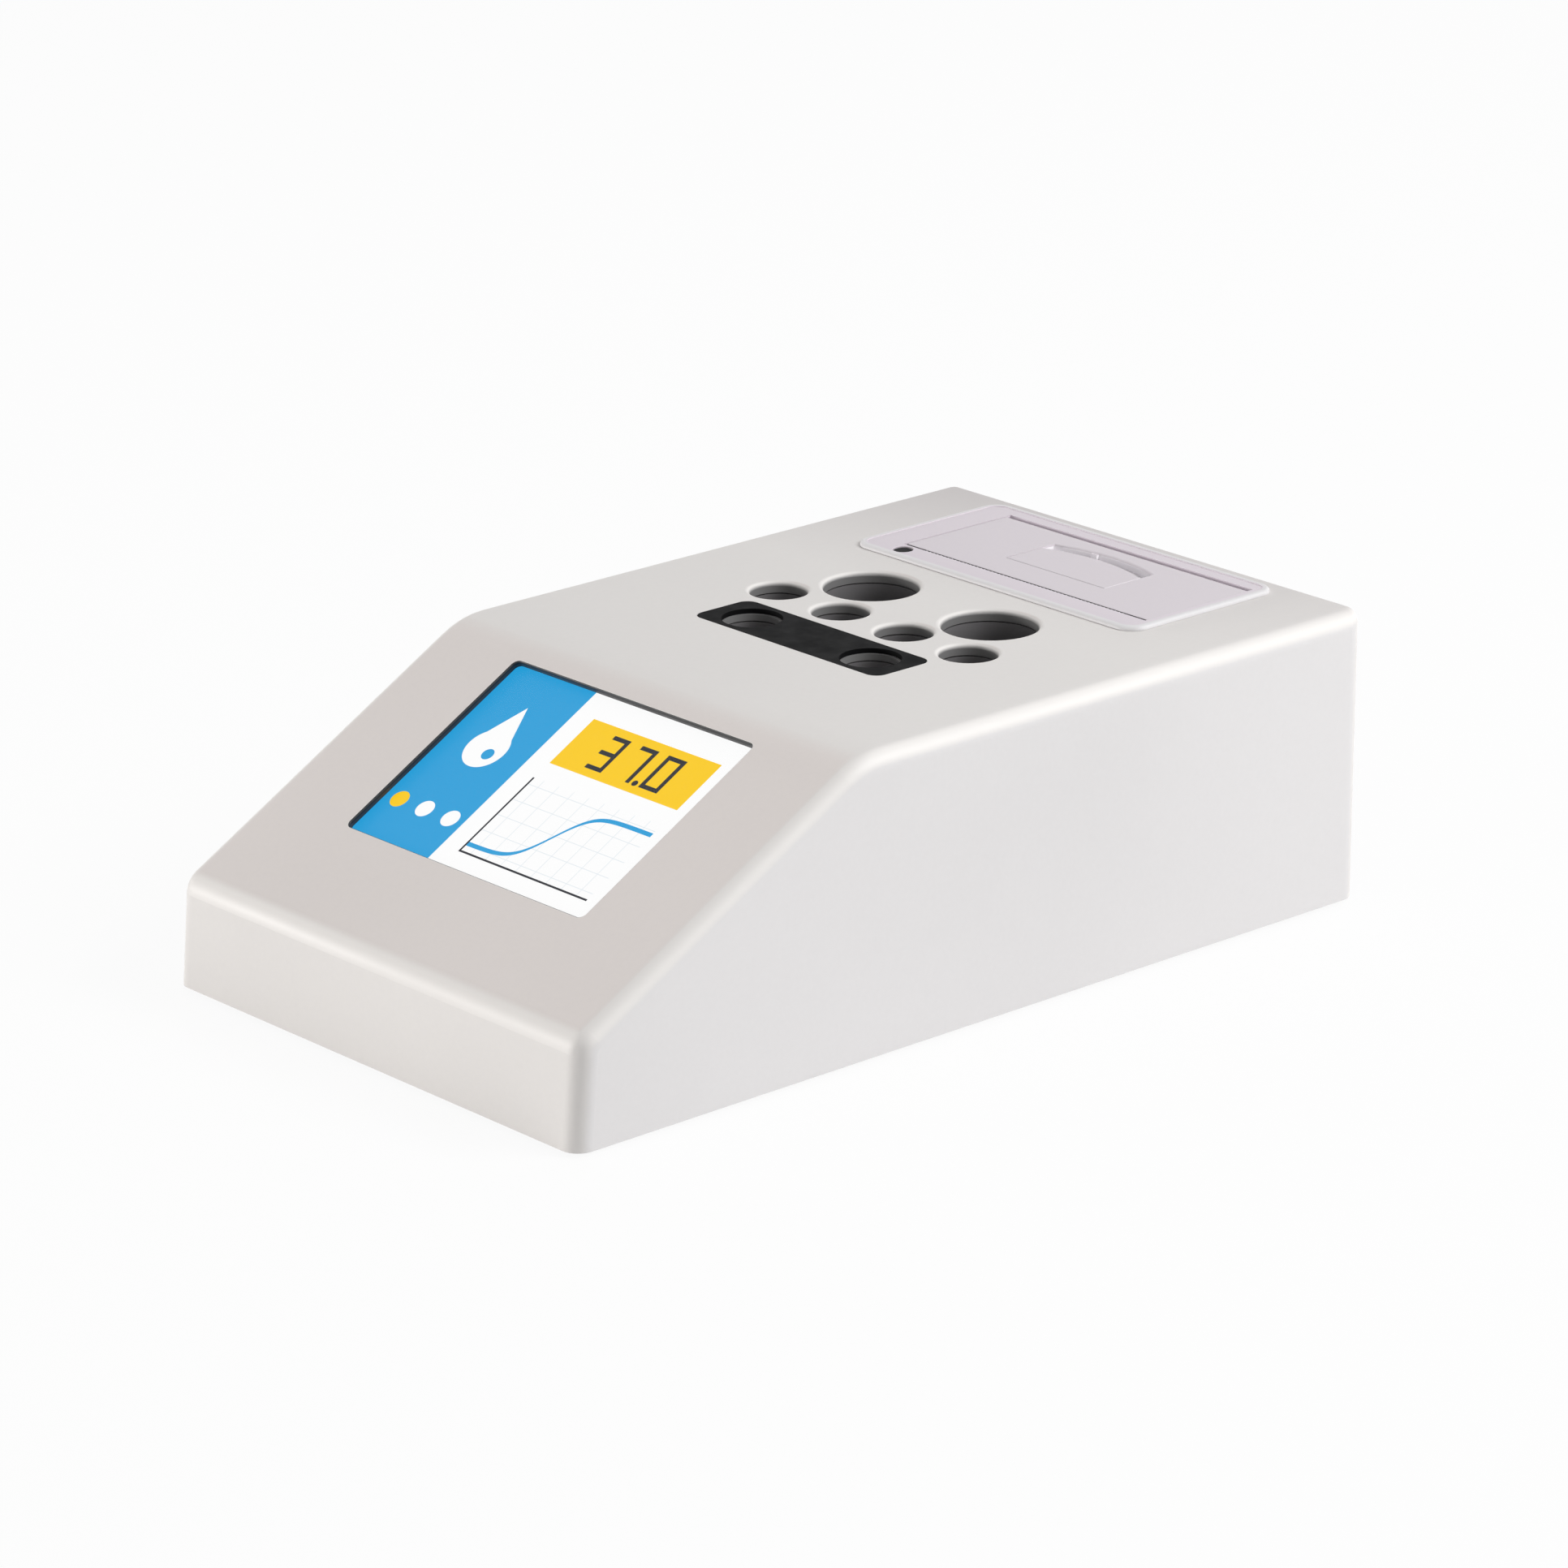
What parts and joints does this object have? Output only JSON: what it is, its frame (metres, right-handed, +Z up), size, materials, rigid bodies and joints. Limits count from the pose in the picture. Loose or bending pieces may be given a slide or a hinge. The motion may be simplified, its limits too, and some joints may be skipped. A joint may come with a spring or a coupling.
{
  "type": "coagulation analyzer",
  "caption": "Benchtop blood-coagulation analyzer: sloping front with a display, heated wells in the flat top and a small paper printer behind them.",
  "frame": {"origin": "centre of the footprint at the bench surface", "axes": "+Y towards the rear, +X to the right seen from the front, +Z up"},
  "size_m": [0.125, 0.215, 0.065],
  "materials": {
    "cover_plastic": "fine-grained warm white ABS",
    "base_plastic": "fine-grained grey ABS",
    "foot_rubber": "matte",
    "steel": "zinc-plated",
    "panel_metal": "powder-grey, satin",
    "black_plastic": "satin black",
    "rocker_plastic": "polished black",
    "port_metal": "nickel-plated",
    "frame_plastic": "satin black",
    "touch_glass": "polished",
    "screen": "lit display",
    "board_green": "solder mask",
    "buzzer_black": "moulded",
    "cell_metal": "satin",
    "ribbon_film": "film",
    "block_metal": "machined",
    "standoff_brass": "turned",
    "heater_rubber": "silicone",
    "lamp_glass": "clear lens",
    "sensor_glass": "dark lens",
    "motor_metal": "drawn can",
    "disc_metal": "turned",
    "magnet_metal": "nickel-plated",
    "strip_plastic": "polished dark strip",
    "printer_plastic": "fine-grained light grey ABS",
    "latch_plastic": "fine-grained light grey ABS",
    "gear_plastic": "acetal",
    "head_ceramic": "glazed ceramic",
    "roller_rubber": "ground",
    "button_plastic": "satin dark"
  },
  "bodies": {
    "housing": {"top_cover": "cover_plastic", "base_plate": "base_plastic", "rubber_feet": "foot_rubber", "cover_screws": "steel", "rear_panel": "panel_metal", "panel_screws": "steel", "power_jack": "black_plastic", "data_port": "port_metal", "switch_housing": "black_plastic", "display_frame": "frame_plastic", "touch_panel": "touch_glass", "lcd_panel": "screen", "display_board": "board_green", "small_screws": "steel", "main_board": "board_green", "board_screws": "steel", "buzzer": "buzzer_black", "backup_cell": "cell_metal", "display_ribbon": "ribbon_film", "heated_block": "block_metal", "block_standoffs": "standoff_brass", "heater_pad": "heater_rubber", "temperature_probe": "steel", "thermal_cutout": "buzzer_black", "channel_lamps": "lamp_glass", "lamp_board": "board_green", "channel_sensors": "sensor_glass", "sensor_boards": "board_green", "stirrer_bracket": "disc_metal", "stirrer_motors": "motor_metal", "measuring_strip": "strip_plastic", "printer_bezel": "printer_plastic", "printer_body": "printer_plastic", "hinge_pin": "steel", "tear_bar": "steel", "print_head": "head_ceramic", "head_sink": "disc_metal", "head_springs": "steel", "gear_axle": "steel", "feed_motor": "motor_metal", "printer_clamps": "steel", "clamp_screws": "steel", "printer_board": "board_green", "button_board": "board_green"},
    "rocker": {"switch_rocker": "rocker_plastic"},
    "left_stirrer": {"left_stirrer_disc": "disc_metal", "left_stirrer_magnets": "magnet_metal"},
    "right_stirrer": {"right_stirrer_disc": "disc_metal", "right_stirrer_magnets": "magnet_metal"},
    "door": {"printer_door": "printer_plastic"},
    "latch": {"latch_plate": "latch_plastic", "latch_shaft": "steel", "latch_hooks": "latch_plastic", "latch_spring": "steel"},
    "platen": {"platen_roller": "roller_rubber", "platen_shaft": "steel", "platen_gear": "gear_plastic"},
    "feed_gear": {"drive_gear": "gear_plastic"},
    "feed_pinion": {"motor_pinion": "steel"},
    "button": {"feed_button": "button_plastic"}
  },
  "joints": [
    {"name": "rocker_tilt", "type": "hinge", "parent": "housing", "child": "rocker", "pos_m": [0.048, 0.1023, 0.0195], "axis": [-1, 0, 0], "range_deg": [0, 14]},
    {"name": "left_stirrer_spin", "type": "hinge", "parent": "housing", "child": "left_stirrer", "pos_m": [-0.0179, 0.0093, 0.027], "axis": [0, 0, 1], "continuous": true},
    {"name": "right_stirrer_spin", "type": "hinge", "parent": "housing", "child": "right_stirrer", "pos_m": [0.0179, 0.0093, 0.027], "axis": [0, 0, 1], "continuous": true},
    {"name": "door_hinge", "type": "hinge", "parent": "housing", "child": "door", "pos_m": [0.003, 0.0961, 0.0632], "axis": [-1, 0, 0], "range_deg": [0, 95]},
    {"name": "latch_hinge", "type": "hinge", "parent": "door", "child": "latch", "pos_m": [0.003, 0.07745, 0.0625], "axis": [1, 0, 0], "range_deg": [0, 25], "stiffness_Nm_per_rad": 0.01, "springref_deg": -20.05},
    {"name": "platen_spin", "type": "hinge", "parent": "door", "child": "platen", "pos_m": [0.003, 0.0704, 0.059], "axis": [1, 0, 0], "continuous": true},
    {"name": "drive_gear_spin", "type": "hinge", "parent": "housing", "child": "feed_gear", "pos_m": [0.0376, 0.07186, 0.05007], "axis": [1, 0, 0], "continuous": true},
    {"name": "motor_pinion_spin", "type": "hinge", "parent": "housing", "child": "feed_pinion", "pos_m": [0.0376, 0.07332, 0.04114], "axis": [1, 0, 0], "continuous": true},
    {"name": "feed_button_press", "type": "slide", "parent": "housing", "child": "button", "axis": [0, 0, -1], "range_m": [0, 0.0005], "stiffness_N_per_m": 400, "springref_m": -0.0005}
  ],
  "couplings": [
    {"joint": "drive_gear_spin", "follows": "platen_spin", "ratio": -0.5},
    {"joint": "motor_pinion_spin", "follows": "platen_spin", "ratio": 1}
  ]
}
